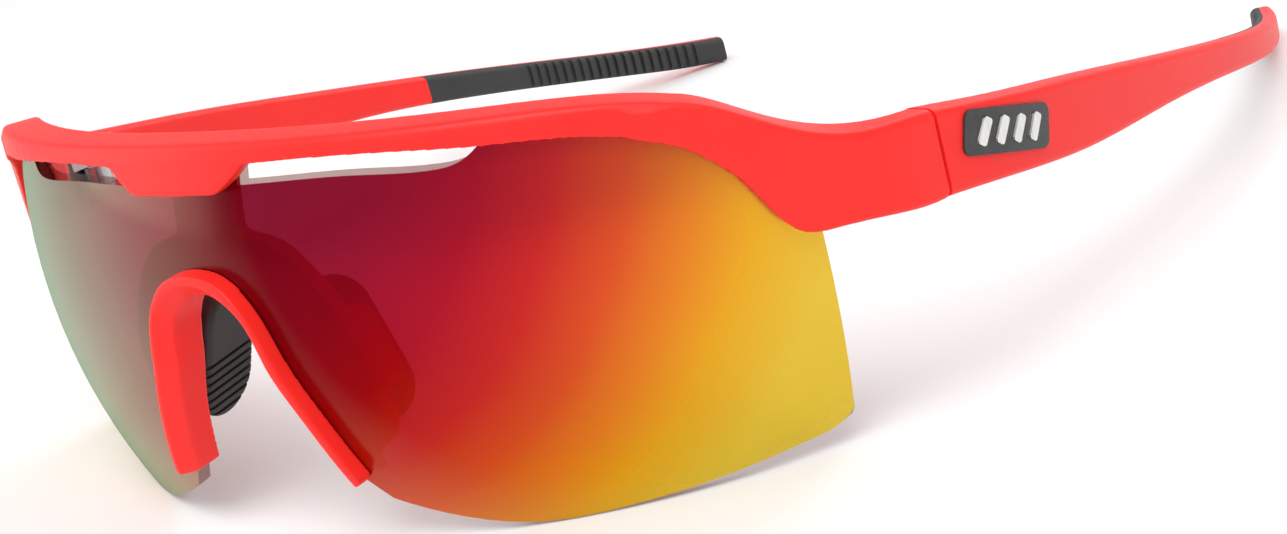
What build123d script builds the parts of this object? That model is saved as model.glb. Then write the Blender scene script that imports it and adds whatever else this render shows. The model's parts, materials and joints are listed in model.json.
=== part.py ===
"""Wraparound sport sunglasses: one-piece shield lens, full brow, folding temples."""
from build123d import *
import os
from math import sin, cos, radians, sqrt

# Frame: +X is the wearer's left, -Y is the front, +Z is up. Millimetres.
# The glasses rest open on a table: lens lobes and temple tips touch z = 0.

# ---- overall ----
lens_width = 128.4          # straight across, edge to edge
temple_length = 131.1       # from the seam to the tip, front to back
wide = lens_width / 128.4   # the outlines below are drawn for a width of 128.4
long = temple_length / 131.1

# ---- lens ----
lens_radius = 77.1 * wide   # outer surface, a sphere
lens_axis_y = -11.0         # centre of the sphere
lens_axis_z = 26.74
lens_thickness = 2.0
lens_half_angle = 56.4      # side edges, seen from above
lens_fit = 0.03             # all round, in the frame and nose piece grooves
tongue_half = 8.2           # part of the lens held behind the centre tab
tongue_top = 50.3

# ---- brow and ears ----
brow_proud = 2.4            # front face, out from the lens
brow_behind = 3.0           # rear face, in from the lens
edge_round = 0.9
tab_half_top = 11.3
tab_shoulder = 8.8
tab_half_bottom = 6.7
tab_bottom = 46.4
seam_y = lens_axis_y - 30.0 * wide
seam_gap = 0.3
boss_wall = 2.2             # round the strut's end, behind the tab
boss_bottom = 48.4
boss_top = 51.0
boss_behind = 5.2
strut_fit = 0.03

# ---- nose piece ----
trim_proud = 2.5
trim_behind = 4.0           # at the lens centre's height
trim_taper = 5.3            # drop of the rear face's centre, so the legs thin downwards
trim_width = 2.9
trim_bevel = 1.9            # slope from the rim towards the nose
trim_round = 0.8
flange_thickness = 2.4
strut_half = 4.7
strut_top = 50.0
lens_in_trim = 1.5          # depth of lens edge inside the trim

# ---- nose pads ----
pad_length = 19.0
pad_width = 9.8
pad_thickness = 3.2
pad_lean = 22.0
pad_splay = 6.0
pad_ribs = 7
pad_rib_pitch = 1.25
pad_x = 9.9                 # middle of the pad's face towards the nose
pad_y = lens_axis_y - lens_radius + 10.7
pad_z = 22.0
pad_edge = 0.9
pad_rib_top = -0.6
pad_rib_groove = 0.5
pad_rib_depth = 0.45
pad_fit = 0.03
carrier_depth = 3.2
carrier_width = 7.8
carrier_height = 10.5
carrier_ahead = 2.3         # from the pad's middle towards the lens
pad_peg_radius = 1.1
pad_peg_length = 2.4

# ---- hinges ----
barrel_radius = 1.9
screw_radius = 0.7
screw_head_radius = 1.35
screw_head = 0.6
screw_running = 0.05        # radial, in the moving knuckle
screw_seated = 0.02         # radial, in the fixed knuckles
leaf_length = 8.0
knuckle = 1.6               # height of each fixed knuckle
mid_knuckle = 2.8           # height of the moving knuckle
washer = 0.3
washer_play = 0.03
hinge_z = 31.5              # middle of the moving knuckle
barrel_stand = 0.35         # barrel to the inner faces

# ---- temples ----
grip_start = seam_y + 75.0 * long
grip_cover = 1.5            # rubber thickness on the inner face
rib_pitch = 1.55
rib_first = seam_y + 95.0 * long
rib_last = seam_y + 127.0 * long
rib_slot = 0.7
rib_depth = 0.35
badge_x = 73.8 * wide       # between the faces of the temple
badge_y = seam_y + 11.0
badge_z = 30.2
badge_tilt = -18.0
badge_length = 16.0
badge_height = 5.4
badge_inlay = 0.3
badge_proud = 0.3
bar_proud = 0.25
bar_count = 4

# ---- brow, ears and temples, left half ----
# Brow: angle from the front, bottom, top, standing out at the bottom and at the top
brow_middle = (0, 48.8, 52.2, brow_proud, brow_proud)
brow_half = [
    (14, 48.6, 51.8, brow_proud, brow_proud),
    (28, 47.0, 50.8, brow_proud, brow_proud),
    (42, 43.6, 48.7, 1.5, 2.4),
    (50, 38.0, 45.4, 1.7, 3.0),
]

# Ear, from inside the brow to the lens edge, in the same terms
ear_root = [
    (42, 42.0, 48.6, 1.2, 2.4),
    (46, 35.6, 47.2, 0.7, 2.7),
    (50, 29.6, 45.4, 0.9, 3.0),
    (57, 28.2, 39.9, 3.6, 4.6),
]

# Upright sections of ear and temple: outer face x, y, outward angle, thickness, bottom, top
seam_x = 74.0 * wide
seam_thick = 4.2
ear_bend = (71.9 * wide, lens_axis_y - 37.4 * wide, 66.0, 4.9, 27.2, 38.0)
ear_end = (seam_x, seam_y, 74.0, seam_thick, 26.2, 37.0)
temple_run = [
    (75.9 * wide, seam_y + 9.0 * long, 80.5, 4.0, 24.7, 34.9),
    (77.0 * wide, seam_y + 27.0 * long, 88.5, 3.8, 21.2, 30.7),
    (76.7 * wide, seam_y + 49.7 * long, 93.0, 3.6, 18.2, 24.9),
    (75.2 * wide, seam_y + 68.9 * long, 97.5, 3.5, 14.8, 19.9),
    (71.6 * wide, seam_y + 88.1 * long, 105.0, 3.4, 10.3, 14.9),
    (66.4 * wide, seam_y + 103.5 * long, 111.5, 3.4, 6.4, 10.8),
    (60.5 * wide, seam_y + 117.0 * long, 115.5, 3.4, 2.9, 7.3),
    (53.2 * wide, seam_y + 131.1 * long, 120.0, 3.4, 0.0, 4.2),
]

# ---- hinge heights, bottom to top ----
hinge_x = seam_x - seam_thick - barrel_radius - barrel_stand
mid_low = hinge_z - mid_knuckle / 2
mid_high = hinge_z + mid_knuckle / 2
low_high = mid_low - washer
low_low = low_high - knuckle
top_low = mid_high + washer
top_high = top_low + knuckle

# ---- plan outlines of the hinge leaves, left side ----
front_arm = [
    (hinge_x - 1.0, seam_y - 0.6),
    (hinge_x + 1.0, seam_y - seam_gap),
    (hinge_x + 3.2, seam_y - seam_gap - 0.6),
    (hinge_x + 1.7, seam_y - 4.6),
    (hinge_x + 0.2, seam_y - 4.0),
]
front_plate = [
    (hinge_x + 1.75, seam_y - 0.9),
    (hinge_x + 3.0, seam_y - 0.9),
    (hinge_x + 0.8, seam_y - leaf_length),
    (hinge_x - 0.7, seam_y - leaf_length + 0.6),
]
temple_arm = [
    (hinge_x - 1.0, seam_y + 1.0),
    (hinge_x + 1.0, seam_y + seam_gap),
    (hinge_x + 3.4, seam_y + seam_gap + 0.6),
    (hinge_x + 4.2, seam_y + 4.6),
    (hinge_x + 2.4, seam_y + 4.2),
]
temple_plate = [
    (hinge_x + 2.6, seam_y + 1.2),
    (hinge_x + 3.8, seam_y + 0.9),
    (hinge_x + 5.4, seam_y + leaf_length),
    (hinge_x + 4.0, seam_y + leaf_length),
]

os.makedirs("parts", exist_ok=True)


def spread(points):
    """Points of a front view, widened with the lens."""
    return [(x * wide, z) for x, z in points]


def lens_r(z, offset):
    """Distance from the lens's upright axis at height z, offset out from the lens."""
    return sqrt((lens_radius + offset) ** 2 - (z - lens_axis_z) ** 2)


def upright(x, y, angle):
    """Plane with local X outward (angle from the front) and local Y up."""
    a = radians(angle)
    return Plane(origin=(x, y, 0), x_dir=(sin(a), -cos(a), 0), z_dir=(-cos(a), -sin(a), 0))


def section(plane, inner_low, outer_low, outer_top, inner_top, z_low, z_top, rounding):
    """One rounded four-sided section drawn on an upright plane."""
    with BuildSketch(plane) as made:
        with BuildLine():
            Polyline(
                (inner_low, z_low),
                (outer_low, z_low),
                (outer_top, z_top),
                (inner_top, z_top),
                close=True,
            )
        make_face()
        fillet(made.vertices(), rounding)
    return made.sketch


def brow_section(angle, z_low, z_top, proud_low, proud_top):
    return section(
        upright(0, lens_axis_y, angle),
        lens_r(z_low, -brow_behind),
        lens_r(z_low, proud_low),
        lens_r(z_top, proud_top),
        lens_r(z_top, -brow_behind),
        z_low,
        z_top,
        edge_round,
    )


def blade_section(x, y, angle, thick, z_low, z_top, rounding=1.1):
    return section(upright(x, y, angle), -thick, 0, 0, -thick, z_low, z_top, rounding)


def temple_blank(grow=0.0):
    """Whole temple, with its outer face moved out by grow."""
    def grown(x, y, angle, thick, z_low, z_top):
        a = radians(angle)
        return blade_section(x + grow * sin(a), y - grow * cos(a), angle, thick + grow, z_low, z_top)

    with BuildPart() as made:
        for row in [ear_bend, ear_end] + temple_run:
            add(grown(*row))
        loft()
        with BuildSketch(Plane.XY):
            with Locations((seam_x, seam_y - 10 + seam_gap / 2)):
                Rectangle(40, 20)
        extrude(amount=60, mode=Mode.SUBTRACT)
    return made.part


def nose_edge(inset):
    """Front view of the nose opening, in from the trim's outer edge, left half, bottom to top."""
    return [
        (15.6 - inset, 9.3),
        (12.4 - inset, 19.2),
        (10.1 - inset, 25.6),
        (8.3 - inset, 31.2),
        (5.9 - 0.9 * inset, 35.0 - 0.6 * inset),
        (0, 37.3 - inset),
    ]


def lens_outline(grow=0.0):
    """Front view of the lens, with every hidden edge moved out by grow."""
    with BuildSketch(Plane.XZ) as face:
        with BuildLine():
            side = tongue_half + grow
            top = Polyline((0, tongue_top + grow), (side, tongue_top + grow), (side, 46.7 + grow))
            vent_edge = [
                (24, 46.3 + grow),
                (32, 45.5 + grow),
                (35.2, 45.9 + grow),
                (37.8, 48.3 + grow),
            ]
            shoulder_edge = [
                (46.5, 47.5 + grow),
                (52, 46.0 + grow),
                (56, 43.8 + grow),
                (60, 40.2 + grow),
            ]
            lobe_edge = [
                (50, 1.0),
                (41, 0.2),
                (36, 0.0),
                (31.3, 0.3),
                (23.1, 2.8),
            ]
            vent = Spline([top @ 1] + spread(vent_edge), tangents=[(1, 0), (0.45, 1)])
            shoulder = Spline([vent @ 1] + spread(shoulder_edge))
            outer = Polyline([shoulder @ 1] + spread([(68, 32.0 + grow), (68, 14), (64.4, 14)]))
            corner = Spline(
                [outer @ 1] + spread([(62.7, 7.2), (61.1, 4.0), (58, 2.3)]),
                tangents=[(-0.1, -1), (-1, -0.15)],
            )
            lobe = Spline(
                [corner @ 1] + spread(lobe_edge) + [(16.4, 6.2)],
                tangents=[(-1, -0.15), (-1, 0.6)],
            )
            edge = nose_edge(lens_in_trim + grow)
            Line(lobe @ 1, edge[0])
            nose = Spline(edge, tangents=[(-0.33, 1), (-1, 0)])
            Line(nose @ 1, (0, tongue_top + grow))
        make_face()
        mirror(about=Plane.YZ)
    return face.sketch_local


def shell(outer, inner, drop=0.0):
    """Spherical layer about the lens centre, from inner to outer offset, thinner low down by drop."""
    with BuildPart(Plane(origin=(0, lens_axis_y, lens_axis_z))) as made:
        Sphere(lens_radius + outer)
        with Locations((0, 0, -drop)):
            Sphere(lens_radius + inner, mode=Mode.SUBTRACT)
    return made.part


def lens_solid(grow=0.0):
    a = radians(lens_half_angle)
    reach = 300
    with BuildPart() as made:
        add(shell(grow, -lens_thickness - grow))
        with BuildSketch(Plane.XZ.offset(30)):
            add(lens_outline(grow))
        extrude(amount=80, mode=Mode.INTERSECT)
        with BuildSketch(Plane.XY.offset(-5)):
            with BuildLine():
                Polyline(
                    (0, lens_axis_y + grow / sin(a)),
                    (reach * sin(a), lens_axis_y - reach * cos(a) + grow / sin(a)),
                    (-reach * sin(a), lens_axis_y - reach * cos(a) + grow / sin(a)),
                    close=True,
                )
            make_face()
        extrude(amount=70, mode=Mode.INTERSECT)
    return made.part


def trim_outline():
    """Front view of the nose trim: an upside-down V, both legs."""
    with BuildSketch(Plane.XZ) as face:
        with BuildLine():
            outer = Spline(nose_edge(0), tangents=[(-0.33, 1), (-1, 0)])
            inner = Spline(nose_edge(trim_width), tangents=[(-0.33, 1), (-1, 0)])
            Line(outer @ 0, inner @ 0)
            Line(outer @ 1, inner @ 1)
        make_face()
        mirror(about=Plane.YZ)
    return face.sketch_local


def flange_outline():
    """Front view of the strut and the arched flange behind the lens."""
    with BuildSketch(Plane.XZ) as face:
        with BuildLine():
            strut = Polyline((0, strut_top), (strut_half, strut_top), (strut_half, 41.0))
            arch = Spline(
                strut @ 1,
                (7.6, 39.6),
                (12.3, 36.6),
                (16.0, 31.4),
                (18.4, 25.5),
                (18.9, 20.0),
                (17.4, 13.5),
                tangents=[(0.3, -1), (-0.5, -1)],
            )
            edge = nose_edge(0.8)
            bottom = Line(arch @ 1, (edge[0][0] - 0.6, 11.0))
            inner = Spline([bottom @ 1] + edge[1:], tangents=[(-0.33, 1), (-1, 0)])
            Line(inner @ 1, (0, strut_top))
        make_face()
        mirror(about=Plane.YZ)
    return face.sketch_local


def front_slab(outline, outer, inner, drop=0.0):
    """Part of a spherical layer seen inside a front-view outline."""
    with BuildPart() as made:
        add(shell(outer, inner, drop))
        with BuildSketch(Plane.XZ.offset(30)):
            add(outline)
        extrude(amount=80, mode=Mode.INTERSECT)
    return made.part


def pad_plane(side, back):
    """Plane on a nose pad: origin on its face towards the nose, moved away by back."""
    p, q = radians(pad_splay), radians(pad_lean)
    toward = Vector(-side * cos(p) * cos(q), sin(p) * cos(q), -sin(q))
    along = Vector(sin(p), side * cos(p), 0)
    start = Vector(side * pad_x, pad_y, pad_z) - toward * back
    return Plane(origin=start, x_dir=along, z_dir=-toward)


def pad_solid(side):
    with BuildPart() as made:
        with BuildSketch(pad_plane(side, 0)):
            SlotOverall(pad_length, pad_width, rotation=90)
        extrude(amount=pad_thickness)
        fillet(made.edges().filter_by(lambda e: e.length > 2), pad_edge)
        for i in range(pad_ribs):
            with BuildSketch(pad_plane(side, 0)):
                with Locations((0, pad_rib_top - i * pad_rib_pitch)):
                    Rectangle(pad_width + 2, pad_rib_groove)
            extrude(amount=pad_rib_depth, mode=Mode.SUBTRACT)
        with BuildSketch(pad_plane(side, pad_thickness)):
            Circle(pad_peg_radius)
        extrude(amount=pad_peg_length)
    return made.part


def brow_cut():
    """Front view of everything under the brow's lower edge."""
    edge = [
        (0, 49.6),
        (14, 49.6),
        (21.5, 49.4),
        (30.6, 48.6),
        (38.8, 47.5),
        (46.3, 46.3),
        (51.5, 44.5),
        (54.9, 42.5),
        (57.8, 39.6),
        (60.4, 35.9),
        (62.6, 31.3),
        (64.4, 29.0),
        (67.2, 28.0),
    ]
    with BuildSketch(Plane.XZ) as face:
        with BuildLine():
            low = Spline(spread(edge), tangents=[(1, 0), (1, -0.12)])
            Polyline(low @ 1, (67.2 * wide, 20), (0, 20), low @ 0)
        make_face()
        mirror(about=Plane.YZ)
    return face.sketch_local


def tab_outline():
    """Front view of the centre tab."""
    with BuildSketch(Plane.XZ) as face:
        with BuildLine():
            Polyline(
                (-tab_half_top, 51.0),
                (-tab_half_top, 49.7),
                (-tab_shoulder, 47.7),
                (-tab_half_bottom, tab_bottom),
                (tab_half_bottom, tab_bottom),
                (tab_shoulder, 47.7),
                (tab_half_top, 49.7),
                (tab_half_top, 51.0),
                close=True,
            )
        make_face()
        fillet(face.vertices().filter_by(lambda v: v.Y < 47), 1.4)
        fillet(face.vertices().filter_by(lambda v: 47 < v.Y < 48), 1.2)
    return face.sketch_local


def boss_outline():
    """Front view of the block behind the tab that holds the strut's top."""
    with BuildSketch(Plane.XZ) as face:
        with Locations((0, (boss_bottom + boss_top) / 2)):
            Rectangle(2 * (strut_half + boss_wall), boss_top - boss_bottom)
    return face.sketch_local


def strut_slot():
    """Front view of the strut, with its fit."""
    with BuildSketch(Plane.XZ) as face:
        with Locations((0, strut_top / 2)):
            Rectangle(2 * (strut_half + strut_fit), strut_top + 2 * strut_fit)
    return face.sketch_local


def fold_axis(side, z):
    return Plane(origin=(side * hinge_x, seam_y, z))


def upright_disc(side, radius, z_low, z_high):
    with BuildPart(fold_axis(side, z_low)) as made:
        Cylinder(radius, z_high - z_low, align=(Align.CENTER, Align.CENTER, Align.MIN))
    return made.part


def plan_block(points, side, z_low, z_high):
    """Prism from a plan-view outline given for the left side."""
    with BuildPart() as made:
        with BuildSketch(Plane.XY.offset(z_low)):
            with BuildLine():
                Polyline([(side * x, y) for x, y in points], close=True)
            make_face()
        extrude(amount=z_high - z_low)
    return made.part


def front_leaf(side):
    with BuildPart() as made:
        add(plan_block(front_plate, side, low_low, top_high))
        for z_low, z_high in ((low_low, low_high), (top_low, top_high)):
            add(plan_block(front_arm, side, z_low, z_high))
            add(upright_disc(side, barrel_radius, z_low, z_high))
        add(upright_disc(side, screw_radius + screw_seated, low_low - 1, top_high + 1), mode=Mode.SUBTRACT)
    return made.part


def temple_leaf(side):
    with BuildPart() as made:
        add(plan_block(temple_plate, side, low_low, top_high))
        add(plan_block(temple_arm, side, mid_low, mid_high))
        add(upright_disc(side, barrel_radius, mid_low, mid_high))
        add(upright_disc(side, screw_radius + screw_running, mid_low, mid_high), mode=Mode.SUBTRACT)
    return made.part


def hinge_screw(side):
    with BuildPart() as made:
        add(upright_disc(side, screw_radius, low_low, top_high))
        add(upright_disc(side, screw_head_radius, top_high, top_high + screw_head))
        with BuildSketch(fold_axis(side, top_high + screw_head)):
            Rectangle(2 * screw_head_radius, 0.4)
        extrude(amount=-screw_head / 2, mode=Mode.SUBTRACT)
    return made.part


def hinge_washers(side):
    with BuildPart() as made:
        for z_low in (low_high, mid_high + washer_play):
            add(upright_disc(side, barrel_radius - 0.2, z_low, z_low + washer - washer_play))
        add(upright_disc(side, screw_radius + screw_seated, low_low, top_high), mode=Mode.SUBTRACT)
    return made.part


def barrel_relief(side):
    return upright_disc(side, barrel_radius + barrel_stand, low_low - 1, top_high + screw_head + 0.6)


def grip_region():
    """Prism holding the inner skin of the left temple, from grip_start back."""
    inner = []
    for x, y, angle, thick, low, top in temple_run[2:]:
        a = radians(angle)
        depth = thick - grip_cover
        inner.append((x - depth * sin(a), y + depth * cos(a)))
    with BuildPart() as made:
        with BuildSketch(Plane.XY.offset(-5)):
            with BuildLine():
                skin = Spline(inner, tangents=[(-0.05, 1), (-0.46, 0.88)])
                Polyline(skin @ 1, (skin @ 1) + (-4, 8, 0), (20, (skin @ 1).Y + 9), (20, 0), skin @ 0)
            make_face()
        extrude(amount=50)
        with BuildSketch(Plane.XY.offset(-5)):
            with Locations((50, grip_start - 50)):
                Rectangle(100, 100)
        extrude(amount=50, mode=Mode.SUBTRACT)
    return made.part


# Side view of the left temple, centred on the badge
side_view = Plane(origin=(badge_x, badge_y, badge_z), x_dir=(0, 1, 0), z_dir=(1, 0, 0))


def badge_region():
    """Slanted panel outline seen from the side, as a prism through the outer face."""
    with BuildPart() as made:
        with BuildSketch(side_view):
            with Locations(Location((0, 0, 0), (0, 0, 1), badge_tilt)):
                RectangleRounded(badge_length, badge_height, 1.2)
        extrude(amount=30)
    return made.part


def bars_region():
    pitch = badge_length / (bar_count + 1)
    with BuildPart() as made:
        with BuildSketch(side_view):
            with Locations(Location((0, 0, 0), (0, 0, 1), badge_tilt)):
                for i in range(bar_count):
                    with Locations(Location(((i - (bar_count - 1) / 2) * pitch, 0, 0), (0, 0, 1), -20)):
                        RectangleRounded(pitch * 0.45, badge_height * 0.62, 0.4)
        extrude(amount=30)
    return made.part


def rib_cutters():
    """Thin upright slots in the rubber, square to the inner face."""
    first_x, first_y, first_angle, thick = temple_run[4][:4]
    last_x, last_y, last_angle = temple_run[-1][:3]
    with BuildPart() as made:
        for i in range(int((rib_last - rib_first) / rib_pitch)):
            y = rib_first + i * rib_pitch
            share = (y - first_y) / (last_y - first_y)
            bulge = 5.8 * share * (1 - share)
            x = first_x + (last_x - first_x) * share - thick + bulge
            with BuildSketch(upright(x, y, first_angle + (last_angle - first_angle) * share)):
                with Locations((0, 8)):
                    Rectangle(2 * rib_depth, 40)
            extrude(amount=rib_slot / 2, both=True)
    return made.part


with BuildPart() as shield_lens:
    add(lens_solid())

with BuildPart() as nose_pad_left:
    add(pad_solid(1))

with BuildPart() as nose_pad_right:
    add(pad_solid(-1))

with BuildPart() as nose_bridge:
    add(front_slab(trim_outline(), trim_proud, -trim_behind, trim_taper))
    chamfer(edges().filter_by(lambda e: e.length > 50).sort_by(lambda e: (e @ 0.5).Y)[0], trim_bevel)
    feet = edges().filter_by(lambda e: (e @ 0.5).Z < 12 and abs((e @ 1).Y - (e @ 0).Y) > 2.4)
    fillet(feet, trim_round)
    add(front_slab(flange_outline(), -lens_thickness - lens_fit, -lens_thickness - flange_thickness))
    for side in (1, -1):
        with BuildSketch(pad_plane(side, pad_thickness)):
            with Locations((-side * carrier_ahead, -0.5)):
                RectangleRounded(carrier_width, carrier_height, 2)
        extrude(amount=carrier_depth)
    add(lens_solid(lens_fit), mode=Mode.SUBTRACT)
    for side in (1, -1):
        with BuildSketch(pad_plane(side, 0)):
            SlotOverall(pad_length + 2 * pad_fit, pad_width + 2 * pad_fit, rotation=90)
        extrude(amount=pad_thickness, mode=Mode.SUBTRACT)
        with BuildSketch(pad_plane(side, pad_thickness)):
            Circle(pad_peg_radius + pad_fit)
        extrude(amount=pad_peg_length + pad_fit, mode=Mode.SUBTRACT)

with BuildPart() as ear_left:
    for row in ear_root:
        add(brow_section(*row))
    for row in (ear_bend, ear_end, temple_run[0]):
        add(blade_section(*row, edge_round))
    loft()

with BuildPart() as front_frame:
    for angle, low, top, proud_low, proud_top in reversed(brow_half):
        add(brow_section(-angle, low, top, proud_low, proud_top))
    for row in [brow_middle] + brow_half:
        add(brow_section(*row))
    loft()
    add(ear_left.part)
    mirror(ear_left.part, about=Plane.YZ)
    with BuildSketch(Plane.XZ.offset(30)):
        add(brow_cut())
    extrude(amount=80, mode=Mode.SUBTRACT)
    add(front_slab(tab_outline(), brow_proud - 0.1, lens_fit))
    add(front_slab(boss_outline(), -lens_thickness - lens_fit, -boss_behind))
    add(lens_solid(lens_fit), mode=Mode.SUBTRACT)
    add(front_slab(strut_slot(), 0, -lens_thickness - flange_thickness - strut_fit), mode=Mode.SUBTRACT)
    with BuildSketch(Plane.XY):
        with Locations((0, seam_y - seam_gap / 2 + 10)):
            Rectangle(200, 20)
    extrude(amount=60, mode=Mode.SUBTRACT)
    for side in (1, -1):
        add(barrel_relief(side), mode=Mode.SUBTRACT)
        add(front_leaf(side), mode=Mode.SUBTRACT)

with BuildPart() as hinge_leaf_front_left:
    add(front_leaf(1))

with BuildPart() as hinge_leaf_front_right:
    add(front_leaf(-1))

with BuildPart() as hinge_leaf_temple_left:
    add(temple_leaf(1))

with BuildPart() as hinge_leaf_temple_right:
    add(temple_leaf(-1))

with BuildPart() as hinge_screw_left:
    add(hinge_screw(1))

with BuildPart() as hinge_screw_right:
    add(hinge_screw(-1))

with BuildPart() as hinge_washers_left:
    add(hinge_washers(1))

with BuildPart() as hinge_washers_right:
    add(hinge_washers(-1))

blank = temple_blank()
badge_face = temple_blank(badge_proud)

with BuildPart() as temple_grip_left:
    add(blank)
    add(grip_region(), mode=Mode.INTERSECT)
    add(rib_cutters(), mode=Mode.SUBTRACT)

with BuildPart() as badge_panel_left:
    add(badge_face)
    add(badge_region(), mode=Mode.INTERSECT)
    add(temple_blank(-badge_inlay), mode=Mode.SUBTRACT)

with BuildPart() as badge_bars_left:
    add(temple_blank(badge_proud + bar_proud))
    add(bars_region(), mode=Mode.INTERSECT)
    add(badge_face, mode=Mode.SUBTRACT)

with BuildPart() as temple_left:
    add(blank)
    add(grip_region(), mode=Mode.SUBTRACT)
    add(badge_panel_left.part, mode=Mode.SUBTRACT)
    add(barrel_relief(1), mode=Mode.SUBTRACT)
    add(temple_leaf(1), mode=Mode.SUBTRACT)

with BuildPart() as temple_right:
    mirror(temple_left.part, about=Plane.YZ)

with BuildPart() as temple_grip_right:
    mirror(temple_grip_left.part, about=Plane.YZ)

with BuildPart() as badge_panel_right:
    mirror(badge_panel_left.part, about=Plane.YZ)

with BuildPart() as badge_bars_right:
    mirror(badge_bars_left.part, about=Plane.YZ)

pieces = {
    "front_frame": front_frame,
    "shield_lens": shield_lens,
    "nose_bridge": nose_bridge,
    "nose_pad_left": nose_pad_left,
    "nose_pad_right": nose_pad_right,
    "temple_left": temple_left,
    "temple_right": temple_right,
    "temple_grip_left": temple_grip_left,
    "temple_grip_right": temple_grip_right,
    "hinge_leaf_front_left": hinge_leaf_front_left,
    "hinge_leaf_front_right": hinge_leaf_front_right,
    "hinge_leaf_temple_left": hinge_leaf_temple_left,
    "hinge_leaf_temple_right": hinge_leaf_temple_right,
    "hinge_screw_left": hinge_screw_left,
    "hinge_screw_right": hinge_screw_right,
    "hinge_washers_left": hinge_washers_left,
    "hinge_washers_right": hinge_washers_right,
    "badge_panel_left": badge_panel_left,
    "badge_panel_right": badge_panel_right,
    "badge_bars_left": badge_bars_left,
    "badge_bars_right": badge_bars_right,
}

for name, piece in pieces.items():
    piece.part.label = name
    export_step(piece.part, "parts/" + name + ".step")
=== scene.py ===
import json
import math

import bmesh
import bpy
from mathutils import Matrix, Vector


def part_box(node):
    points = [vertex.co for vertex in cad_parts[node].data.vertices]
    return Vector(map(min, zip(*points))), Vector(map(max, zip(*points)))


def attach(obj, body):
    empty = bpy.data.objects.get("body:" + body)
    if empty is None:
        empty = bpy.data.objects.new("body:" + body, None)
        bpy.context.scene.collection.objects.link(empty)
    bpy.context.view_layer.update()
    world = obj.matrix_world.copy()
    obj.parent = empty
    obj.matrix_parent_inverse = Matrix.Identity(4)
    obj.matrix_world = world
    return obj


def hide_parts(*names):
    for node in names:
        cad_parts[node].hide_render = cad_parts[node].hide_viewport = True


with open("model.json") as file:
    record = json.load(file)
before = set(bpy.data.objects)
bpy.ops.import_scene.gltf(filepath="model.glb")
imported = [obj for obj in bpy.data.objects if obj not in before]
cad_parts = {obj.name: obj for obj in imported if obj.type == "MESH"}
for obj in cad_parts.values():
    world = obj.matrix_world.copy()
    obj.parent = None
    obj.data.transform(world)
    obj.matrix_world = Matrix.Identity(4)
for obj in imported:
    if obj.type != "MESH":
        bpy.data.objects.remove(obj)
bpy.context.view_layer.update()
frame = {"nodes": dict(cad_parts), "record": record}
nodes = frame["nodes"]
scene = bpy.context.scene

# Driving values, in metres unless said
LENS_CENTRE = Vector((0, -0.011, 0.02674))  # of the lens's sphere, as the part's source has it
COATED_FACING = 0.8
SHARP_DEGREES = 32
TRIM_VOXEL = 0.00018
BROW_VOXEL = 0.00024
MESH_KEPT = 0.3
FLOOR_SIZE = 6.0
FLOOR_DROP = 0.0002
CAMERA_PLACE = Vector((0.23964, -0.29556, 0.13022))
CAMERA_RIGHT = Vector((0.79461, 0.55756, -0.24027)).normalized()
CAMERA_FORWARD = Vector((-0.6071, 0.72634, -0.32228)).normalized()
CAMERA_LENS_MM = 78.391
SENSOR_MM = 36
WORLD_STRENGTH = 0.62

lens_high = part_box("shield_lens")[1]
lens_half = lens_high.x
lens_top = lens_high.z


# ---------- materials ----------
def new_material(name):
    m = bpy.data.materials.new(name)
    m.use_nodes = True
    tree = m.node_tree
    tree.nodes.clear()
    out = tree.nodes.new("ShaderNodeOutputMaterial")
    bsdf = tree.nodes.new("ShaderNodeBsdfPrincipled")
    tree.links.new(bsdf.outputs["BSDF"], out.inputs["Surface"])
    return m, tree, bsdf, out


def noise(tree, scale, detail=4.0, rough=0.6, stretch=(1, 1, 1)):
    tc = tree.nodes.new("ShaderNodeTexCoord")
    mp = tree.nodes.new("ShaderNodeMapping")
    mp.inputs["Scale"].default_value = stretch
    n = tree.nodes.new("ShaderNodeTexNoise")
    n.inputs["Scale"].default_value = scale
    n.inputs["Detail"].default_value = detail
    n.inputs["Roughness"].default_value = rough
    tree.links.new(tc.outputs["Object"], mp.inputs["Vector"])
    tree.links.new(mp.outputs["Vector"], n.inputs["Vector"])
    return n


def ramp(tree, source, stops):
    r = tree.nodes.new("ShaderNodeValToRGB")
    els = r.color_ramp.elements
    while len(els) > 1:
        els.remove(els[-1])
    els[0].position = stops[0][0]
    els[0].color = stops[0][1]
    for p, c in stops[1:]:
        e = els.new(p)
        e.color = c
    tree.links.new(source, r.inputs["Fac"])
    return r


def bump(tree, bsdf, height, strength, distance):
    b = tree.nodes.new("ShaderNodeBump")
    b.inputs["Strength"].default_value = strength
    b.inputs["Distance"].default_value = distance
    tree.links.new(height, b.inputs["Height"])
    tree.links.new(b.outputs["Normal"], bsdf.inputs["Normal"])


def grey(v):
    return (v, v, v, 1)


def red_plastic():
    m, t, b, _ = new_material("frame_red")
    tint = noise(t, 40, 5)
    col = ramp(t, tint.outputs["Fac"], [(0.3, (0.88, 0.013, 0.010, 1)), (0.7, (0.94, 0.019, 0.014, 1))])
    t.links.new(col.outputs["Color"], b.inputs["Base Color"])
    fine = noise(t, 2600, 3, 0.5)
    rough = ramp(t, fine.outputs["Fac"], [(0.3, grey(0.40)), (0.7, grey(0.50))])
    t.links.new(rough.outputs["Color"], b.inputs["Roughness"])
    bump(t, b, fine.outputs["Fac"], 0.10, 0.00006)
    b.inputs["Specular IOR Level"].default_value = 0.35
    b.inputs["Subsurface Weight"].default_value = 0.08
    b.inputs["Subsurface Radius"].default_value = (0.004, 0.0012, 0.0008)
    b.inputs["Subsurface Scale"].default_value = 0.5
    return m


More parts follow.
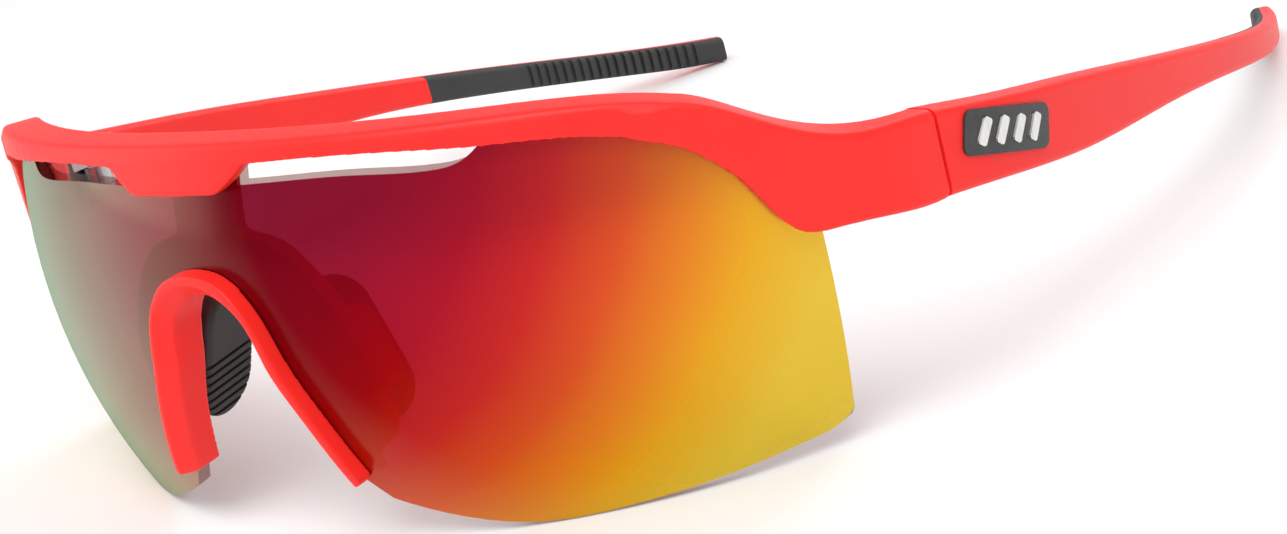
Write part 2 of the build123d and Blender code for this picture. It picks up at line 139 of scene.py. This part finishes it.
def black_rubber():
    m, t, b, _ = new_material("rubber_black")
    tint = noise(t, 90, 6)
    col = ramp(t, tint.outputs["Fac"], [(0.3, grey(0.030)), (0.7, grey(0.042))])
    t.links.new(col.outputs["Color"], b.inputs["Base Color"])
    fine = noise(t, 4200, 3, 0.6)
    rough = ramp(t, fine.outputs["Fac"], [(0.3, grey(0.55)), (0.7, grey(0.72))])
    t.links.new(rough.outputs["Color"], b.inputs["Roughness"])
    bump(t, b, fine.outputs["Fac"], 0.18, 0.00008)
    b.inputs["Specular IOR Level"].default_value = 0.4
    return m


def steel():
    m, t, b, _ = new_material("hinge_steel")
    brush = noise(t, 1500, 2, 0.5, stretch=(1, 1, 0.08))
    col = ramp(t, brush.outputs["Fac"], [(0.3, grey(0.46)), (0.7, grey(0.60))])
    t.links.new(col.outputs["Color"], b.inputs["Base Color"])
    b.inputs["Metallic"].default_value = 1.0
    rough = ramp(t, brush.outputs["Fac"], [(0.3, grey(0.25)), (0.7, grey(0.40))])
    t.links.new(rough.outputs["Color"], b.inputs["Roughness"])
    bump(t, b, brush.outputs["Fac"], 0.08, 0.00003)
    return m


def washer_white():
    m, t, b, _ = new_material("washer_white")
    n = noise(t, 900, 3)
    col = ramp(t, n.outputs["Fac"], [(0.3, grey(0.72)), (0.7, grey(0.82))])
    t.links.new(col.outputs["Color"], b.inputs["Base Color"])
    b.inputs["Roughness"].default_value = 0.5
    return m


def badge_dark():
    m, t, b, _ = new_material("badge_dark")
    n = noise(t, 700, 4)
    col = ramp(t, n.outputs["Fac"], [(0.3, grey(0.020)), (0.7, grey(0.035))])
    t.links.new(col.outputs["Color"], b.inputs["Base Color"])
    rough = ramp(t, n.outputs["Fac"], [(0.3, grey(0.22)), (0.7, grey(0.32))])
    t.links.new(rough.outputs["Color"], b.inputs["Roughness"])
    return m


def badge_silver():
    m, t, b, _ = new_material("badge_silver")
    n = noise(t, 1800, 2, stretch=(1, 1, 0.1))
    col = ramp(t, n.outputs["Fac"], [(0.3, (0.66, 0.65, 0.62, 1)), (0.7, (0.80, 0.79, 0.76, 1))])
    t.links.new(col.outputs["Color"], b.inputs["Base Color"])
    b.inputs["Metallic"].default_value = 1.0
    b.inputs["Roughness"].default_value = 0.28
    return m


def add_math(t, op, a, second=None, third=None):
    n = t.nodes.new("ShaderNodeMath")
    n.operation = op
    for i, v in enumerate((a, second, third)):
        if isinstance(v, (int, float)):
            n.inputs[i].default_value = v
        elif v is not None:
            t.links.new(v, n.inputs[i])
    return n.outputs[0]


def lens_outside():
    """Mirror coating colour with painted reflection: crimson in the middle, through orange, to gold at
    the sides and the bottom, a shift set by position that stands in for the coating's change of colour
    with viewing angle and the reflected surroundings.
    """
    m, t, b, out = new_material("lens_mirror")
    tc = t.nodes.new("ShaderNodeTexCoord")
    sep = t.nodes.new("ShaderNodeSeparateXYZ")
    t.links.new(tc.outputs["Object"], sep.inputs["Vector"])
    # Painted reflection: the ramp's input grows towards the lens's sides and bottom, standing in for
    # the coating's colour shift with viewing angle and what it reflects
    side = add_math(t, "MULTIPLY", add_math(t, "ABSOLUTE", sep.outputs["X"]), 1 / lens_half)
    side = add_math(t, "POWER", side, 2.2)
    drop = add_math(t, "MULTIPLY_ADD", sep.outputs["Z"], -1 / lens_top, 1.0)
    drop = add_math(t, "POWER", add_math(t, "MAXIMUM", drop, 0.0), 2.2)
    coating_and_reflection = add_math(t, "ADD", add_math(t, "MULTIPLY", side, 0.86), add_math(t, "MULTIPLY", drop, 0.55))
    mottle = noise(t, 30, 2)
    coating_and_reflection = add_math(t, "ADD", coating_and_reflection, add_math(t, "MULTIPLY_ADD", mottle.outputs["Fac"], 0.06, -0.03))
    stops = [
        (0.00, (0.19, 0.000, 0.010, 1)),
        (0.12, (0.25, 0.000, 0.008, 1)),
        (0.24, (0.37, 0.001, 0.003, 1)),
        (0.38, (0.56, 0.020, 0.000, 1)),
        (0.52, (0.70, 0.090, 0.000, 1)),
        (0.66, (0.80, 0.250, 0.000, 1)),
        (0.80, (0.84, 0.460, 0.000, 1)),
        (1.00, (0.82, 0.640, 0.040, 1)),
    ]
    colour = ramp(t, coating_and_reflection, stops)
    t.links.new(colour.outputs["Color"], b.inputs["Base Color"])
    b.inputs["Metallic"].default_value = 0.7
    b.inputs["Roughness"].default_value = 0.24
    b.inputs["Specular IOR Level"].default_value = 0.1
    through = t.nodes.new("ShaderNodeBsdfTransparent")
    through.inputs["Color"].default_value = (0.55, 0.05, 0.16, 1)
    coated = t.nodes.new("ShaderNodeMixShader")
    coated.inputs["Fac"].default_value = 0.24
    t.links.new(b.outputs["BSDF"], coated.inputs[1])
    t.links.new(through.outputs["BSDF"], coated.inputs[2])
    glance = t.nodes.new("ShaderNodeLayerWeight")
    glance.inputs["Blend"].default_value = 0.5
    glancing = [(0.24, grey(0)), (0.46, grey(0.22)), (0.70, grey(0.60)), (0.90, grey(0.96))]
    amount = ramp(t, glance.outputs["Facing"], glancing)
    sheen = t.nodes.new("ShaderNodeBsdfGlossy")
    sheen.inputs["Color"].default_value = (0.36, 0.46, 0.34, 1)
    sheen.inputs["Roughness"].default_value = 0.16
    final = t.nodes.new("ShaderNodeMixShader")
    t.links.new(amount.outputs["Color"], final.inputs["Fac"])
    t.links.new(coated.outputs["Shader"], final.inputs[1])
    t.links.new(sheen.outputs["BSDF"], final.inputs[2])
    t.links.new(final.outputs["Shader"], out.inputs["Surface"])
    return m


def lens_inside():
    """Bare tinted polycarbonate: the inner face and the cut edges."""
    m, t, b, out = new_material("lens_tint")
    n = noise(t, 60, 3)
    col = ramp(t, n.outputs["Fac"], [(0.3, (0.10, 0.035, 0.03, 1)), (0.7, (0.12, 0.045, 0.035, 1))])
    t.links.new(col.outputs["Color"], b.inputs["Base Color"])
    b.inputs["Roughness"].default_value = 0.06
    through = t.nodes.new("ShaderNodeBsdfTransparent")
    through.inputs["Color"].default_value = (0.80, 0.68, 0.66, 1)
    mixed = t.nodes.new("ShaderNodeMixShader")
    mixed.inputs["Fac"].default_value = 0.82
    t.links.new(b.outputs["BSDF"], mixed.inputs[1])
    t.links.new(through.outputs["BSDF"], mixed.inputs[2])
    t.links.new(mixed.outputs["Shader"], out.inputs["Surface"])
    return m


made = {
    "frame_red": red_plastic(),
    "rubber_black": black_rubber(),
    "hinge_steel": steel(),
    "washer_white": washer_white(),
    "badge_dark": badge_dark(),
    "badge_silver": badge_silver(),
    "lens_mirror": lens_outside(),
}

for sub in frame["record"]["subparts"]:
    o = nodes[sub["node"]]
    o.data.materials.clear()
    o.data.materials.append(made[sub["material_slot"]])
    for p in o.data.polygons:
        p.use_smooth = True
    o.data.set_sharp_from_angle(angle=math.radians(SHARP_DEGREES))

# Only the lens's outer face carries the mirror coating
lens = nodes["shield_lens"]
lens.data.materials.append(lens_inside())
for p in lens.data.polygons:
    outward = (p.center - LENS_CENTRE).normalized()
    p.material_index = 0 if p.normal.dot(outward) > COATED_FACING else 1


# ---------- moulded edges ----------
def softened(node, material, voxel, rounds):
    """The node's shape with every edge rounded over, as a moulding has."""
    src = nodes[node]
    mesh = src.data.copy()
    o = bpy.data.objects.new(node + "_moulded", mesh)
    scene.collection.objects.link(o)
    grid = o.modifiers.new("grid", "REMESH")
    grid.mode = "VOXEL"
    grid.voxel_size = voxel
    grid.adaptivity = 0.0
    ease = o.modifiers.new("ease", "SMOOTH")
    ease.factor = 0.5
    ease.iterations = rounds
    thin = o.modifiers.new("thin", "DECIMATE")
    thin.ratio = MESH_KEPT
    bpy.context.view_layer.update()
    done = bpy.data.meshes.new_from_object(o.evaluated_get(bpy.context.evaluated_depsgraph_get()))
    o.modifiers.clear()
    o.data = done
    done.materials.clear()
    done.materials.append(material)
    for p in done.polygons:
        p.use_smooth = True
    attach(o, "front")
    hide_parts(node)


softened("nose_bridge", made["frame_red"], TRIM_VOXEL, 10)
softened("front_frame", made["frame_red"], BROW_VOXEL, 8)


# ---------- camera ----------
camera_up = CAMERA_RIGHT.cross(CAMERA_FORWARD)
cam_data = bpy.data.cameras.new("camera")
cam = bpy.data.objects.new("camera", cam_data)
scene.collection.objects.link(cam)
axes = Matrix((CAMERA_RIGHT, camera_up, -CAMERA_FORWARD)).transposed().to_4x4()
cam.matrix_world = Matrix.Translation(CAMERA_PLACE) @ axes
cam_data.lens = CAMERA_LENS_MM
cam_data.sensor_width = SENSOR_MM
cam_data.clip_start = 0.01
cam_data.dof.use_dof = False
scene.camera = cam


# ---------- stage ----------
def plane_object(name, size, location, colour):
    bm = bmesh.new()
    bmesh.ops.create_grid(bm, x_segments=1, y_segments=1, size=size / 2)
    mesh = bpy.data.meshes.new(name)
    bm.to_mesh(mesh)
    bm.free()
    o = bpy.data.objects.new(name, mesh)
    o.location = location
    m, t, b, _ = new_material(name)
    b.inputs["Base Color"].default_value = colour
    b.inputs["Roughness"].default_value = 0.9
    b.inputs["Specular IOR Level"].default_value = 0.1
    mesh.materials.append(m)
    scene.collection.objects.link(o)
    return o


floor = plane_object("floor", FLOOR_SIZE, (0, 0, -FLOOR_DROP), (0.86, 0.86, 0.86, 1))

scene.view_settings.view_transform = "Standard"
world = bpy.data.worlds.new("studio")
scene.world = world
world.use_nodes = True
world.node_tree.nodes["Background"].inputs["Color"].default_value = (1, 1, 1, 1)
world.node_tree.nodes["Background"].inputs["Strength"].default_value = WORLD_STRENGTH


def area(name, location, target, size, power):
    data = bpy.data.lights.new(name, "AREA")
    data.energy = power
    data.size = size
    o = bpy.data.objects.new(name, data)
    o.location = location
    o.rotation_euler = (Vector(target) - Vector(location)).to_track_quat("-Z", "Y").to_euler()
    scene.collection.objects.link(o)


area("key", (0.25, -0.5, 0.75), (0, -0.03, 0.03), 0.6, 5.5)
area("fill", (-0.7, -0.45, 0.35), (0, -0.03, 0.03), 0.7, 2.2)
area("back", (0.1, 0.7, 0.6), (0, 0, 0.03), 0.6, 2.6)
